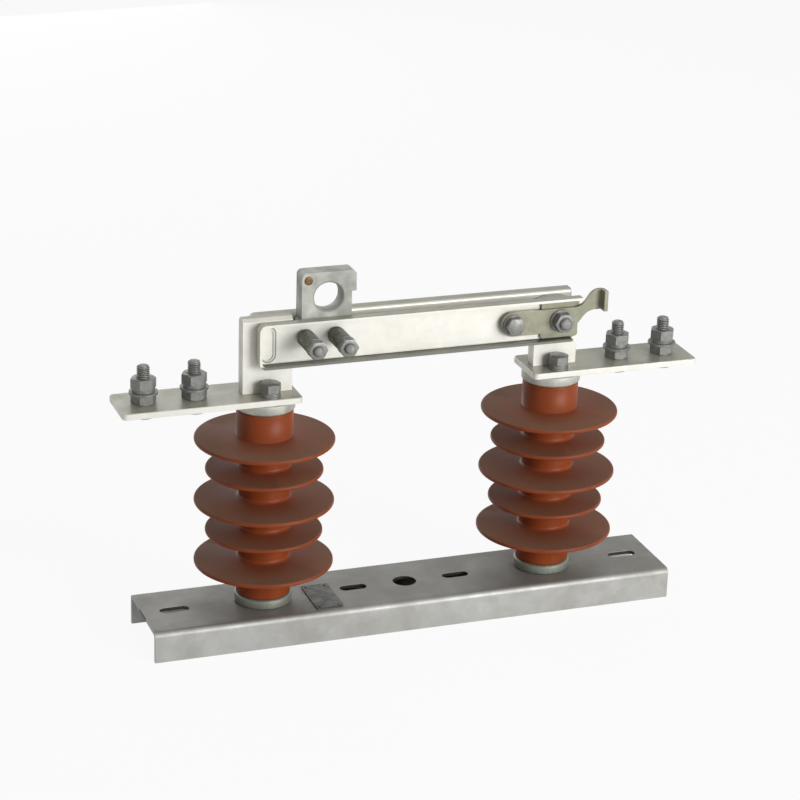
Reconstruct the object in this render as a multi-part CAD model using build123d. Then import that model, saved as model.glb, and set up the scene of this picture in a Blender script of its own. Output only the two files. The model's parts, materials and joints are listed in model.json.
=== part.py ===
from build123d import *
import os

# Outdoor single-pole disconnect switch, worked with a hook stick, drawn closed.
# Millimetres. The origin is on the underside of the base channel, at its middle.
# +X runs along the channel to the hinge end, +Z is up, and -Y is the side of the springs.

# Base channel, bent from galvanised sheet with its flanges down
channel_length = 546
channel_width = 96
channel_height = 32
channel_wall = 4
channel_bend = 6
end_slot_spacing = 482
end_slot_length = 30
middle_slot_spacing = 110
middle_slot_length = 28
slot_width = 12
drain_hole_radius = 12

# Blank nameplate on the channel, beside the left insulator
plate_length = 54
plate_width = 28
plate_thickness = 1.2
plate_to_foot = 15.5
plate_y = -13
plate_corner = 2
plate_rivet_inset = 4
plate_rivet_radius = 1.6
plate_rivet_head = 0.8
plate_rivet_round = 0.5

# Two post insulators of silicone rubber on a glass-fibre rod, with metal ends
insulator_spacing = 300
insulator_height = 216
foot_radius = 28.5
foot_height = 10
cap_radius = 29.5
cap_height = 11
fitting_edge = 1.5
core_radius = 25
top_neck_radius = 28
low_neck_radius = 27
large_shed_radius = 69
small_shed_radius = 58
shed_count = 5
shed_pitch = 32.2
top_shed_height = 172.8
shed_rim = 4
shed_edge = 1.8
shed_droop = 2.5
shed_root = 1.5
shed_root_fillet = 3.5
rubber_step_fillet = 2

# Bolt from under the channel into each insulator foot
base_bolt_radius = 8
base_bolt_flats = 24
base_bolt_head = 10
base_bolt_depth = 9
base_washer_radius = 15
base_washer_thickness = 3

# Flat terminal bars, tinned copper
bar_width = 58
bar_thickness = 6
bar_length = 178
bar_overlap = 30
bar_corner = 5
bar_edge = 0.8

# Terminal bolts, two on each bar, with heads below and two nuts on each above
terminal_bolt_radius = 6.35
terminal_thread_radius = 6
terminal_bolt_spacing = 50
terminal_bolt_to_end = 27
terminal_bolt_reach = 37.5
terminal_flats = 22
terminal_head = 8
terminal_low_nut = 9
terminal_nut = 10.5
terminal_washer_radius = 14
terminal_washer_thickness = 2.5
spring_washer_radius = 11
spring_washer_thickness = 3
spring_washer_split = 2

# Contact and hinge posts, each two leaves back to back, brazed upright on the bar
leaf_thickness = 7
contact_width = 50
contact_height = 76
contact_lead_in = 3.5
hinge_post_width = 46
hinge_post_above_pin = 19
hinge_post_corner = 16

# Bolts that clamp the bar to the insulator cap, one on each side of the post
clamp_bolt_radius = 6
clamp_bolt_flats = 18
clamp_bolt_head = 9
clamp_bolt_depth = 9
clamp_bolt_offset = 18
clamp_washer_radius = 10
clamp_washer_thickness = 2
clamp_spring_radius = 9.5
clamp_spring_thickness = 3

# Blade of two pressed strips, hinged over the right insulator
pin_above_bar = 50.5
strip_gap = 18
strip_thickness = 2.5
strip_depth = 12
strip_height = 45
strip_bend = 3.5
strip_corner = 7
strip_past_contact = 12
strip_heel_reach = 22
strip_heel_corner = 12
lower_flange_heel_reach = 13
lower_flange_cut = 12.5
rib_width = 16
rib_height = 37
rib_to_tip = 11
rib_edge = 1.2
contact_gap = 0.3

# Pull eye for the hook stick, a casting between the strips
eye_foot_to_contact = 5
eye_hole_radius = 14.5
eye_hole_above_blade = 19.5
eye_left = 27
eye_right = 28
eye_top = 25.5
eye_step = 4.5
eye_step_height = 4.5
eye_corner = 5
eye_chamfer = 1.5
eye_foot_left = 30
eye_foot_right = 17
eye_foot_depth = 35
eye_foot_below_top = 3
eye_rivet_radius = 4.2
eye_rivet_x = -20.5
eye_rivet_z = 18
eye_rivet_head = 1.2
eye_rivet_round = 1

# Sprung bolts that press the strips on the contact
stud_radius = 5
stud_left_of_eye = 24
stud_right_of_eye = 7
stud_above_pin = 4.5
stud_head = 5.5
stud_flats = 17
stud_spring_radius = 8.8
stud_spring_length = 32
stud_washer_radius = 9.4
stud_washer_thickness = 1.5
stud_nut = 8.5
stud_end = 4

# Hinge bolt, its rings and pressure plates
pin_radius = 6
pin_flats = 18
pin_head = 7.5
pin_nut = 9
pin_end = 4
pin_washer_radius = 12
pin_washer_thickness = 2
hinge_ring_radius = 15
pressure_plate_width = 40
pressure_plate_gap = 1
pressure_plate_thickness = 3
pressure_plate_corner = 3

# Stop lever beside the hinge, bolted to the front strip
lever_thickness = 4
lever_height = 25
lever_bolt_to_pin = 51
lever_tip_reach = 46
lever_tip_rise = 29.5
lever_tip_height = 21
lever_flange_depth = 9
lever_neck = 22
lever_top_corner = 12
lever_throat_corner = 16
lever_bolt_radius = 5
lever_bolt_flats = 17
lever_bolt_head = 6.4
lever_nut = 8
lever_end = 1.5
lever_washer_radius = 11
lever_washer_thickness = 2
spacer_radius = 9

# Clearances, and how far a cut runs on past the face that it opens
bolt_clearance = 0.05
hole_clearance = 0.5
pin_clearance = 0.08
cut_past = 1
bolt_end_room = 1

# Levels and places that follow from the sizes above
web_top = channel_height
cap_top = web_top + insulator_height
bar_top = cap_top + bar_thickness
pin_z = bar_top + pin_above_bar
left_x = -insulator_spacing / 2
right_x = insulator_spacing / 2
plate_x = left_x + foot_radius + plate_to_foot + plate_width / 2
eye_x = left_x + contact_width / 2 + eye_foot_to_contact + eye_foot_left
stud_places = (eye_x - stud_left_of_eye, eye_x + stud_right_of_eye)
strip_tip = left_x - strip_past_contact
strip_heel = right_x + strip_heel_reach
lever_x = right_x - lever_bolt_to_pin
blade_top = pin_z + strip_height / 2
strip_inner = strip_gap / 2
strip_outer = strip_inner + strip_thickness
flange_room = strip_height - 2 * strip_thickness


def write(shape, name):
    """Write one piece, or like pieces that don't touch, under its own name."""
    export_step(shape, f"parts/{name}.step")


def cylinder_z(radius, low, high, x=0, y=0):
    return Pos(x, y, (low + high) / 2) * Cylinder(radius, high - low)


def cylinder_y(radius, near, far, x, z):
    return Pos(x, (near + far) / 2, z) * Rot(90, 0, 0) * Cylinder(radius, abs(far - near))


def block(x0, x1, y0, y1, z0, z1):
    size = Box(x1 - x0, y1 - y0, z1 - z0)
    return Pos((x0 + x1) / 2, (y0 + y1) / 2, (z0 + z1) / 2) * size


def hexagon(flats, height):
    """Hexagon from z = 0 up, with the corners of both ends turned off at 30 degrees."""
    prism = extrude(RegularPolygon(flats / 2, 6, major_radius=False), height)
    corner = flats / 3**0.5
    turned = Pos(0, 0, height / 2) * Cylinder(corner, height)
    turned_off = corner - flats / 2
    return prism & chamfer(turned.edges(), turned_off / 3**0.5, turned_off)


def hexagon_with_bore(flats, height, radius):
    return hexagon(flats, height) - cylinder_z(radius, -cut_past, height + cut_past)


def ring(outer, inner, thickness):
    return cylinder_z(outer, 0, thickness) - cylinder_z(inner, -cut_past, thickness + cut_past)


def split_ring(outer, inner, thickness, gap):
    """Spring washer from z = 0 up, cut through on its +Y side."""
    cut = block(-gap / 2, gap / 2, 0, outer + cut_past, -cut_past, thickness + cut_past)
    return ring(outer, inner, thickness) - cut


def bolt(radius, length, flats, head):
    """Bolt with its shank up from z = 0 and its head below, its end chamfered."""
    shank = cylinder_z(radius, 0, length)
    shank = chamfer(shank.edges().sort_by(Axis.Z)[-1], radius / 6)
    return Pos(0, 0, -head) * hexagon(flats, head) + shank


def turned_to_front(piece, x, y, z):
    """Turn a piece made along +Z to run along -Y, and put its zero face at y."""
    return Pos(x, y, z) * Rot(90, 0, 0) * piece


def turned_to_back(piece, x, y, z):
    """Turn a piece made along +Z to run along +Y, and put its zero face at y."""
    return Pos(x, y, z) * Rot(-90, 0, 0) * piece


def mirrored_y(piece):
    return mirror(piece, Plane.XZ)


def mirrored_x(piece):
    return mirror(piece, Plane.YZ)


def channel():
    profile = Pos(0, channel_height / 2) * Rectangle(channel_width, channel_height)
    profile = fillet(profile.vertices().group_by(Axis.Y)[-1], channel_bend)
    inside = Pos(0, (channel_height - channel_wall) / 2) * Rectangle(
        channel_width - 2 * channel_wall, channel_height - channel_wall
    )
    inside = fillet(inside.vertices().group_by(Axis.Y)[-1], channel_bend - channel_wall)
    body = extrude(Plane.YZ * (profile - inside), channel_length / 2, both=True)
    level = web_top - channel_wall - cut_past
    depth = channel_wall + 2 * cut_past
    for x in (-end_slot_spacing / 2, end_slot_spacing / 2):
        body -= Pos(x, 0, level) * extrude(SlotOverall(end_slot_length, slot_width), depth)
    for x in (-middle_slot_spacing / 2, middle_slot_spacing / 2):
        body -= Pos(x, 0, level) * extrude(SlotOverall(middle_slot_length, slot_width), depth)
    body -= cylinder_z(drain_hole_radius, level, level + depth)
    for x in (left_x, right_x):
        body -= cylinder_z(base_bolt_radius + hole_clearance, level, level + depth, x)
    return body


def nameplate():
    sheet = RectangleRounded(plate_width, plate_length, plate_corner)
    plate = extrude(sheet, plate_thickness)
    for x in (-1, 1):
        for y in (-1, 1):
            rivet_x = x * (plate_width / 2 - plate_rivet_inset)
            rivet_y = y * (plate_length / 2 - plate_rivet_inset)
            top = plate_thickness + plate_rivet_head
            head = cylinder_z(plate_rivet_radius, 0, top, rivet_x, rivet_y)
            plate += fillet(head.edges().sort_by(Axis.Z)[-1], plate_rivet_round)
    return Pos(plate_x, plate_y, web_top) * plate


def turned_fitting(radius, low, high):
    body = cylinder_z(radius, low, high)
    return chamfer(body.edges(), fitting_edge)


def rubber_housing():
    """Rubber and rod between the two metal ends, its sheds large and small by turns."""
    low = foot_height
    high = insulator_height - cap_height
    profile = Pos(core_radius / 2, (low + high) / 2) * Rectangle(core_radius, high - low)
    low_rim = top_shed_height - (shed_count - 1) * shed_pitch
    for number in range(shed_count):
        radius = large_shed_radius if number % 2 == 0 else small_shed_radius
        rim_z = top_shed_height - number * shed_pitch
        over = rim_z + shed_rim / 2
        under = rim_z - shed_rim / 2
        shed = make_face(
            Polyline(
                (0, over + shed_droop),
                (core_radius, over + shed_droop),
                (radius, over),
                (radius, under),
                (core_radius, under - shed_root),
                (0, under - shed_root),
                close=True,
            )
        )
        tip = shed.vertices().group_by(Axis.X)[-1]
        profile += fillet(tip, shed_edge)
    inside_corners = [v for v in profile.vertices() if abs(v.X - core_radius) < 0.01]
    inside_corners = [v for v in inside_corners if low + 0.1 < v.Y < high - 0.1]
    profile = fillet(inside_corners, shed_root_fillet)
    housing = revolve(Plane.XZ * profile, Axis.Z)
    top_root = top_shed_height + shed_rim / 2
    low_root = low_rim - shed_rim / 2 - shed_root
    neck = cylinder_z(top_neck_radius, top_root, high)
    low_neck = cylinder_z(low_neck_radius, low, low_root + shed_root)
    neck = fillet(neck.edges().sort_by(Axis.Z)[-1], rubber_step_fillet)
    low_neck = fillet(low_neck.edges().sort_by(Axis.Z)[0], rubber_step_fillet)
    return housing + neck + low_neck


def insulator_cap():
    cap = turned_fitting(cap_radius, insulator_height - cap_height, insulator_height)
    low = insulator_height - clamp_bolt_depth
    for y in (-clamp_bolt_offset, clamp_bolt_offset):
        radius = clamp_bolt_radius + bolt_clearance
        cap -= cylinder_z(radius, low, insulator_height + cut_past, y=y)
    return cap


def insulator_foot():
    foot = turned_fitting(foot_radius, 0, foot_height)
    return foot - cylinder_z(base_bolt_radius + bolt_clearance, -cut_past, base_bolt_depth)


def terminal_x():
    """Distances of the two terminal bolts from the middle of the channel."""
    bar_end = insulator_spacing / 2 - bar_overlap + bar_length
    outer = bar_end - terminal_bolt_to_end
    return outer - terminal_bolt_spacing, outer


def right_bar():
    inner = right_x - bar_overlap
    middle = inner + bar_length / 2
    bar = extrude(RectangleRounded(bar_length, bar_width, bar_corner), bar_thickness)
    bar = Pos(middle, 0, cap_top) * bar
    bar = chamfer(bar.edges().group_by(Axis.Z)[-1], bar_edge)
    low, high = cap_top - cut_past, bar_top + cut_past
    for x in terminal_x():
        bar -= cylinder_z(terminal_bolt_radius + hole_clearance, low, high, x)
    for y in (-clamp_bolt_offset, clamp_bolt_offset):
        bar -= cylinder_z(clamp_bolt_radius + hole_clearance, low, high, right_x, y)
    return bar


def front_leaf(width, height):
    """Upright leaf on the bar at x = 0, from y = 0 out to -thickness."""
    return block(-width / 2, width / 2, -leaf_thickness, 0, bar_top, bar_top + height)


def contact_leaf():
    leaf = front_leaf(contact_width, contact_height)
    front_rim = leaf.edges().group_by(Axis.Z)[-1].filter_by(Axis.X).sort_by(Axis.Y)[0]
    return Pos(left_x, 0, 0) * chamfer(front_rim, contact_lead_in)


def hinge_leaf():
    leaf = front_leaf(hinge_post_width, pin_above_bar + hinge_post_above_pin)
    corners = leaf.edges().filter_by(Axis.Y).group_by(Axis.Z)[-1]
    leaf = fillet(corners, hinge_post_corner)
    radius = pin_radius + pin_clearance
    return Pos(right_x, 0, 0) * (leaf - cylinder_y(radius, -leaf_thickness - cut_past, cut_past, 0, pin_z))


def pan():
    """Solid block of a strip's outside, from its inner face at y = 0 out to -depth."""
    length = strip_heel - strip_tip
    face = Pos(strip_tip + length / 2, pin_z) * Rectangle(length, strip_height)
    face = fillet(face.vertices().group_by(Axis.X)[0], strip_corner)
    body = extrude(Plane.XZ * face, strip_depth)
    bent = [e for e in body.edges().group_by(Axis.Y)[-1] if e.center().X < strip_heel - 0.1]
    return fillet(bent, strip_bend)


def pan_inside():
    """Room between the flanges, which runs out past the heel."""
    left = strip_tip + strip_thickness
    right = strip_heel + cut_past
    face = Pos((left + right) / 2, pin_z) * Rectangle(right - left, flange_room)
    face = fillet(face.vertices().group_by(Axis.X)[0], strip_corner - strip_thickness)
    room = extrude(Plane.XZ * face, strip_depth)
    bent = [e for e in room.edges().group_by(Axis.Y)[-1] if e.center().X < right - 0.1]
    return Pos(0, -strip_thickness, 0) * fillet(bent, strip_bend - strip_thickness)


def heel_waste():
    """What is cut off the lower corner of the heel, outside its round."""
    low = pin_z - strip_height / 2
    near, far = -strip_depth - cut_past, cut_past
    round_x = strip_heel - strip_heel_corner
    round_z = low + strip_heel_corner
    corner = block(round_x, strip_heel + cut_past, near, far, low - cut_past, round_z)
    return corner - cylinder_y(strip_heel_corner, near, far, round_x, round_z)


def rib_slot(shrink):
    return Rot(0, 0, 90) * SlotOverall(rib_height - 2 * shrink, rib_width - 2 * shrink)


def front_strip():
    """Pressed strip with its flanges towards -Y, closed at the tip and open at the heel."""
    body = pan() - pan_inside() - heel_waste()
    low = pin_z - strip_height / 2
    body -= block(
        right_x + lower_flange_heel_reach,
        strip_heel + cut_past,
        -strip_depth - cut_past,
        -strip_thickness,
        low - cut_past,
        low + lower_flange_cut,
    )
    rib_depth = strip_inner - leaf_thickness - contact_gap
    outer_rib = extrude(rib_slot(0), rib_depth + strip_thickness / 2)
    outer_rib = fillet(outer_rib.edges().group_by(Axis.Z)[0], rib_edge)
    inner_rib = extrude(rib_slot(strip_thickness), rib_depth + cut_past)
    at_rib = Pos(strip_tip + rib_to_tip, rib_depth, pin_z) * Rot(90, 0, 0)
    body += at_rib * outer_rib
    body -= Pos(0, -strip_thickness, 0) * at_rib * inner_rib
    holes = [(x, pin_z + stud_above_pin, stud_radius) for x in stud_places]
    holes += [(lever_x, pin_z, lever_bolt_radius), (right_x, pin_z, pin_radius)]
    for x, z, radius in holes:
        body -= cylinder_y(radius + bolt_clearance, -strip_depth, cut_past, x, z)
    return Pos(0, -strip_inner, 0) * body


def pull_eye():
    eye_z = blade_top + eye_hole_above_blade
    top = eye_z + eye_top
    step_z = eye_z + eye_step_height
    left = eye_x - eye_left
    right = eye_x + eye_right
    foot_top_z = blade_top - eye_foot_below_top
    head = make_face(
        Polyline(
            (left, foot_top_z - cut_past),
            (left, top),
            (right, top),
            (right, step_z),
            (right - eye_step, step_z),
            (right - eye_step, foot_top_z - cut_past),
            close=True,
        )
    )
    head = fillet(head.vertices().group_by(Axis.Y)[-1], eye_corner)
    foot_low = blade_top - eye_foot_depth
    foot_left = eye_x - eye_foot_left
    foot_right = eye_x + eye_foot_right
    foot = Pos((foot_left + foot_right) / 2, (foot_low + foot_top_z) / 2) * Rectangle(
        foot_right - foot_left, foot_top_z - foot_low
    )
    foot = fillet(foot.vertices(), eye_corner)
    hole = Pos(eye_x, eye_z) * Circle(eye_hole_radius)
    body = extrude(Plane.XZ * (head + foot - hole), strip_inner, both=True)
    circles = body.edges().filter_by(GeomType.CIRCLE)
    rims = [e for e in circles if abs(e.radius - eye_hole_radius) < 0.01]
    body = chamfer(rims, eye_chamfer)
    holes = [(x, pin_z + stud_above_pin, stud_radius) for x in stud_places]
    holes.append((eye_x + eye_rivet_x, eye_z + eye_rivet_z, eye_rivet_radius))
    face = strip_inner + cut_past
    for x, z, radius in holes:
        body -= cylinder_y(radius + bolt_clearance, -face, face, x, z)
    return body


def eye_rivet():
    reach = strip_inner + eye_rivet_head
    z = blade_top + eye_hole_above_blade + eye_rivet_z
    rivet = cylinder_y(eye_rivet_radius, -reach, reach, eye_x + eye_rivet_x, z)
    return fillet(rivet.edges().filter_by(GeomType.CIRCLE), eye_rivet_round)


def sprung_bolt_pieces():
    """Bolts, springs, washers and nuts that run from the back strip out to the front."""
    bolts, springs, washers, nuts = [], [], [], []
    spring_end = strip_outer + stud_spring_length
    washer_end = spring_end + stud_washer_thickness
    nut_end = washer_end + stud_nut
    length = strip_outer + nut_end + stud_end
    bore = stud_radius + bolt_clearance
    z = pin_z + stud_above_pin
    for x in stud_places:
        one = bolt(stud_radius, length, stud_flats, stud_head)
        bolts.append(turned_to_front(one, x, strip_outer, z))
        spring = ring(stud_spring_radius, bore, stud_spring_length)
        springs.append(turned_to_front(spring, x, -strip_outer, z))
        washer = ring(stud_washer_radius, bore, stud_washer_thickness)
        washers.append(turned_to_front(washer, x, -spring_end, z))
        nut = hexagon_with_bore(stud_flats, stud_nut, bore)
        nuts.append(turned_to_front(nut, x, -washer_end, z))
    return bolts, springs, washers, nuts


def pressure_plate():
    height = flange_room - 2 * pressure_plate_gap
    sheet = RectangleRounded(pressure_plate_width, height, pressure_plate_corner)
    plate = extrude(sheet, pressure_plate_thickness)
    plate -= cylinder_z(pin_radius + bolt_clearance, -cut_past, pressure_plate_thickness + cut_past)
    return turned_to_front(plate, right_x, -strip_outer, pin_z)


def stop_lever():
    """Bar from the lever bolt to the hinge bolt, rising to an ear with its end bent out."""
    inner = strip_outer + pressure_plate_thickness
    half = lever_height / 2
    tip_x = lever_tip_reach
    tip_low = lever_tip_rise - lever_tip_height
    bar = Pos(-lever_bolt_to_pin / 2, 0) * Rectangle(lever_bolt_to_pin, lever_height)
    bar += Pos(-lever_bolt_to_pin, 0) * Circle(half)
    ear = make_face(
        Polyline(
            (0, half),
            (lever_neck, half),
            (tip_x - lever_top_corner, lever_tip_rise),
            (tip_x, lever_tip_rise),
            (tip_x, tip_low),
            (lever_neck + half / 2, tip_low),
            (half, -half),
            (0, -half),
            close=True,
        )
    )
    lever = bar + ear
    rounded = [
        ((lever_neck, half), lever_throat_corner),
        ((tip_x - lever_top_corner, lever_tip_rise), lever_top_corner),
        ((lever_neck + half / 2, tip_low), lever_throat_corner),
        ((half, -half), lever_throat_corner),
    ]
    for place, radius in rounded:
        corner = lever.vertices().sort_by_distance(place)[0]
        lever = fillet(corner, radius)
    body = Pos(0, -inner, 0) * extrude(Plane.XZ * lever, lever_thickness)
    outer = inner + lever_thickness
    flange = block(
        tip_x - lever_thickness, tip_x, -outer - lever_flange_depth, -inner, tip_low, lever_tip_rise
    )
    body += flange
    bend = body.edges().filter_by(Axis.Z).sort_by_distance((tip_x, -inner, lever_tip_rise))[0]
    body = fillet(bend, lever_thickness)
    for x, radius in ((0, pin_radius), (-lever_bolt_to_pin, lever_bolt_radius)):
        body -= cylinder_y(radius + bolt_clearance, -outer - cut_past, -inner + cut_past, x, 0)
    return Pos(right_x, 0, pin_z) * body


os.makedirs("parts", exist_ok=True)

write(channel(), "base_channel")
write(nameplate(), "nameplate")

for side, x in (("left", left_x), ("right", right_x)):
    place = Pos(x, 0, web_top)
    write(place * insulator_foot(), f"{side}_insulator_foot")
    write(place * rubber_housing(), f"{side}_insulator_sheds")
    write(place * insulator_cap(), f"{side}_insulator_cap")

base_grip = channel_wall + base_washer_thickness
base_washer_top = web_top - channel_wall
base_bolt_length = base_grip + base_bolt_depth - bolt_end_room
base_bolt = bolt(base_bolt_radius, base_bolt_length, base_bolt_flats, base_bolt_head)
base_washer = ring(base_washer_radius, base_bolt_radius + bolt_clearance, base_washer_thickness)
under_washer = base_washer_top - base_washer_thickness
both_sides = (left_x, right_x)
write(Compound([Pos(x, 0, under_washer) * base_bolt for x in both_sides]), "base_bolts")
write(Compound([Pos(x, 0, under_washer) * base_washer for x in both_sides]), "base_washers")

write(right_bar(), "right_terminal_bar")
write(mirrored_x(right_bar()), "left_terminal_bar")

write(contact_leaf(), "contact_front_leaf")
write(mirrored_y(contact_leaf()), "contact_back_leaf")
write(hinge_leaf(), "hinge_front_leaf")
write(mirrored_y(hinge_leaf()), "hinge_back_leaf")

clamp_bore = clamp_bolt_radius + bolt_clearance
clamp_washer_top = bar_top + clamp_washer_thickness
clamp_spring_top = clamp_washer_top + clamp_spring_thickness
clamp_length = clamp_spring_top - cap_top + clamp_bolt_depth - bolt_end_room
clamp_bolt = bolt(clamp_bolt_radius, clamp_length, clamp_bolt_flats, clamp_bolt_head)
clamp_bolt = Rot(180, 0, 0) * clamp_bolt
clamp_washer = ring(clamp_washer_radius, clamp_bore, clamp_washer_thickness)
clamp_spring = split_ring(
    clamp_spring_radius, clamp_bore, clamp_spring_thickness, spring_washer_split
)
clamp_places = [(x, y) for x in both_sides for y in (-clamp_bolt_offset, clamp_bolt_offset)]
write(Compound([Pos(x, y, clamp_spring_top) * clamp_bolt for x, y in clamp_places]), "clamp_bolts")
write(Compound([Pos(x, y, bar_top) * clamp_washer for x, y in clamp_places]), "clamp_washers")
write(
    Compound([Pos(x, y, clamp_washer_top) * clamp_spring for x, y in clamp_places]),
    "clamp_spring_washers",
)

terminal_bore = terminal_bolt_radius + bolt_clearance
low_nut_top = bar_top + terminal_low_nut
terminal_washer_top = low_nut_top + terminal_washer_thickness
terminal_spring_top = terminal_washer_top + spring_washer_thickness
terminal_length = bar_thickness + terminal_bolt_reach
terminal_bolt = bolt(terminal_bolt_radius, terminal_length, terminal_flats, terminal_head)
terminal_grip = terminal_spring_top + terminal_nut - cap_top
free_end = terminal_length - terminal_grip
skimmed = ring(terminal_bolt_radius + cut_past, terminal_thread_radius, free_end + cut_past)
terminal_bolt -= Pos(0, 0, terminal_grip) * skimmed
terminal_washer = ring(terminal_washer_radius, terminal_bore, terminal_washer_thickness)
terminal_spring = split_ring(
    spring_washer_radius, terminal_bore, spring_washer_thickness, spring_washer_split
)
low_nut = hexagon_with_bore(terminal_flats, terminal_low_nut, terminal_bore)
top_nut = hexagon_with_bore(terminal_flats, terminal_nut, terminal_bore)
inner_x, outer_x = terminal_x()
write(Compound([Pos(x, 0, cap_top) * terminal_bolt for x in (inner_x, outer_x)]), "right_terminal_bolts")
write(Compound([Pos(-x, 0, cap_top) * terminal_bolt for x in (inner_x, outer_x)]), "left_terminal_bolts")
terminal_places = (-outer_x, -inner_x, inner_x, outer_x)
write(Compound([Pos(x, 0, low_nut_top) * terminal_washer for x in terminal_places]), "terminal_washers")
write(
    Compound([Pos(x, 0, terminal_washer_top) * terminal_spring for x in terminal_places]),
    "terminal_spring_washers",
)
nuts = [Pos(x, 0, bar_top) * low_nut for x in terminal_places]
nuts += [Pos(x, 0, terminal_spring_top) * top_nut for x in terminal_places]
write(Compound(nuts), "terminal_nuts")

write(front_strip(), "blade_front_strip")
write(mirrored_y(front_strip()), "blade_back_strip")
write(pull_eye(), "pull_eye")
write(eye_rivet(), "eye_rivet")

stud_bolts, stud_springs, stud_washers, stud_nuts = sprung_bolt_pieces()
write(Compound(stud_bolts), "contact_spring_bolts")
write(Compound(stud_springs), "contact_springs")
write(Compound(stud_washers), "contact_spring_washers")
write(Compound(stud_nuts), "contact_spring_nuts")

write(pressure_plate(), "front_pressure_plate")
write(mirrored_y(pressure_plate()), "back_pressure_plate")
write(stop_lever(), "stop_lever")

plate_face = strip_outer + pressure_plate_thickness
lever_face = plate_face + lever_thickness
pin_nut_face = lever_face + pin_washer_thickness
pin_length = plate_face + pin_nut_face + pin_nut + pin_end
pin_bore = pin_radius + bolt_clearance
hinge_bolt = bolt(pin_radius, pin_length, pin_flats, pin_head)
hinge_washer = ring(pin_washer_radius, pin_bore, pin_washer_thickness)
hinge_nut = hexagon_with_bore(pin_flats, pin_nut, pin_bore)
write(turned_to_front(hinge_bolt, right_x, plate_face, pin_z), "hinge_bolt")
write(turned_to_front(hinge_washer, right_x, -lever_face, pin_z), "hinge_washer")
write(turned_to_front(hinge_nut, right_x, -pin_nut_face, pin_z), "hinge_nut")

ring_thickness = strip_inner - leaf_thickness - contact_gap
hinge_ring = ring(hinge_ring_radius, pin_bore, ring_thickness)
front_ring = turned_to_back(hinge_ring, right_x, -strip_inner, pin_z)
write(Compound([front_ring, mirrored_y(front_ring)]), "hinge_rings")

lever_bore = lever_bolt_radius + bolt_clearance
lever_spacer = ring(spacer_radius, lever_bore, pressure_plate_thickness)
blade_spacer = ring(spacer_radius, lever_bore, strip_gap)
lever_washer = ring(lever_washer_radius, lever_bore, lever_washer_thickness)
lever_head_face = lever_face + lever_washer_thickness
lever_length = lever_head_face + strip_outer + lever_nut + lever_end
lever_bolt = bolt(lever_bolt_radius, lever_length, lever_bolt_flats, lever_bolt_head)
lever_nut_piece = hexagon_with_bore(lever_bolt_flats, lever_nut, lever_bore)
write(turned_to_front(lever_spacer, lever_x, -strip_outer, pin_z), "lever_spacer")
write(turned_to_front(blade_spacer, lever_x, strip_inner, pin_z), "blade_spacer")
write(turned_to_front(lever_washer, lever_x, -lever_face, pin_z), "lever_washer")
write(turned_to_back(lever_bolt, lever_x, -lever_head_face, pin_z), "lever_bolt")
write(turned_to_back(lever_nut_piece, lever_x, strip_outer, pin_z), "lever_nut")
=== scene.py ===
import json
import math

import bmesh
import bpy
from mathutils import Matrix, Vector


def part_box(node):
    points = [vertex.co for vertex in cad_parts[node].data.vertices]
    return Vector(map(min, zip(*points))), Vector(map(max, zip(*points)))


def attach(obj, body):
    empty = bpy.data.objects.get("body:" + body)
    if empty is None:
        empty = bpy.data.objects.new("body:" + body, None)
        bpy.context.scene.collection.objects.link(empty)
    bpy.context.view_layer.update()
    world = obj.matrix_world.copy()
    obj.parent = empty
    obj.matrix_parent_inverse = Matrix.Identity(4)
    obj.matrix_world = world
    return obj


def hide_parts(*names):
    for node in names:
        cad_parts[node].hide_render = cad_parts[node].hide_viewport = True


# Outdoor single-pole disconnect switch, closed, on a plain pale floor.
# Metres. +X runs along the channel to the hinge end, +Z is up, -Y is the spring side.

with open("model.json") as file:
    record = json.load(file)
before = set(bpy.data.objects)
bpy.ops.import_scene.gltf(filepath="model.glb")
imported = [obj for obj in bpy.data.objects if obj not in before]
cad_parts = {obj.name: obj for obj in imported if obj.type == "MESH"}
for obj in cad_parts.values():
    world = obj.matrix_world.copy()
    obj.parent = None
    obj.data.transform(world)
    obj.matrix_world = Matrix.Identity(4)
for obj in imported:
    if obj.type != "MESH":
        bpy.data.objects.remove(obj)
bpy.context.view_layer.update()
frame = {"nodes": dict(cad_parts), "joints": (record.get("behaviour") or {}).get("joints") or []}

# Camera. It stands in front of the switch and left of it, and looks down on it
# as the photograph does, with a long lens.
EYE = Vector((-0.8473, -2.2616, 1.1499))
YAW = math.radians(20.30)
PITCH = math.radians(20.89)
ROLL = math.radians(1.77)
LENS_MM = 117.6
SENSOR_MM = 36.0

ahead = Vector(
    (math.sin(YAW) * math.cos(PITCH), math.cos(YAW) * math.cos(PITCH), -math.sin(PITCH))
)
level_right = Vector((math.cos(YAW), -math.sin(YAW), 0.0))
level_up = level_right.cross(ahead)
right = level_right * math.cos(ROLL) + level_up * math.sin(ROLL)
up = level_up * math.cos(ROLL) - level_right * math.sin(ROLL)
camera_data = bpy.data.cameras.new("camera")
camera_data.lens = LENS_MM
camera_data.sensor_width = SENSOR_MM
camera = bpy.data.objects.new("camera", camera_data)
bpy.context.scene.collection.objects.link(camera)
camera.matrix_world = Matrix.Translation(EYE) @ Matrix((right, up, -ahead)).transposed().to_4x4()
bpy.context.scene.camera = camera
bpy.context.scene.view_settings.view_transform = "Standard"


# Base channel. One length of 4 mm mild steel sheet, slotted flat and then bent
# on a press brake with its flanges down, and hot-dip galvanised as the last job.
def linear(code):
    """Turn an sRGB hex value into the linear colour that a shader takes."""
    parts = [int(code[i : i + 2], 16) / 255 for i in (0, 2, 4)]
    parts = [p / 12.92 if p <= 0.04045 else ((p + 0.055) / 1.055) ** 2.4 for p in parts]
    return (*parts, 1.0)


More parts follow.
